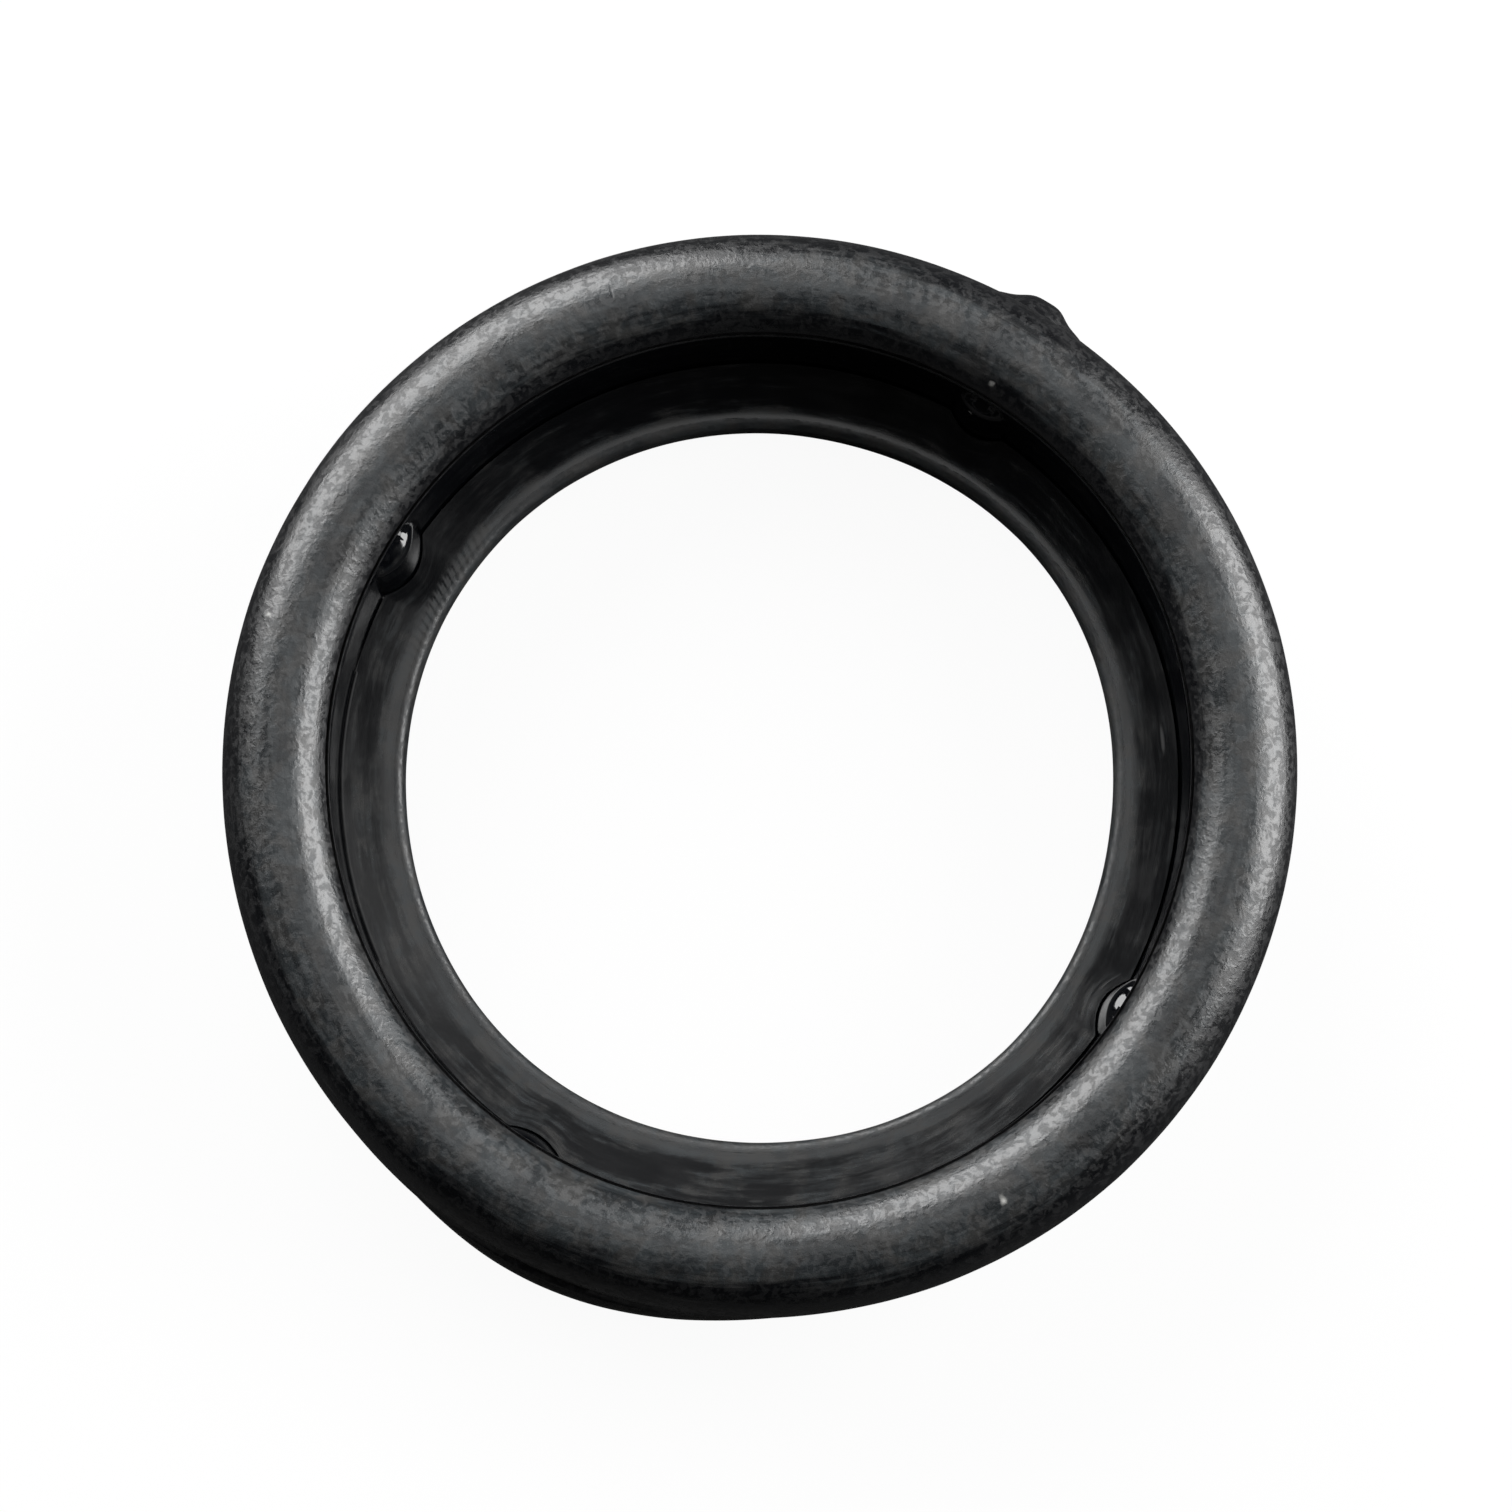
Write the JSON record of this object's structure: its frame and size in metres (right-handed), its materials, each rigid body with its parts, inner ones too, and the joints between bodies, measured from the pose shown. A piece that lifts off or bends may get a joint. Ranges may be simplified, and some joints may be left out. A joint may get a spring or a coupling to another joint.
{
  "type": "spark plug tube seal",
  "caption": "Moulded rubber ring with a round bead round its top and an inward lip that seals on a spark plug tube.",
  "frame": {"origin": "on the ring's axis, in the plane of its flat base", "axes": "+Z along the ring's axis, from the base to the bead; the outer lug points 58.7 degrees from +X towards +Y"},
  "size_m": [0.0422, 0.0424, 0.009],
  "materials": {
    "rubber": "black moulded rubber, satin, with a dusty bloom on the bead"
  },
  "bodies": {
    "root": {"tube_seal": "rubber"}
  },
  "joints": []
}
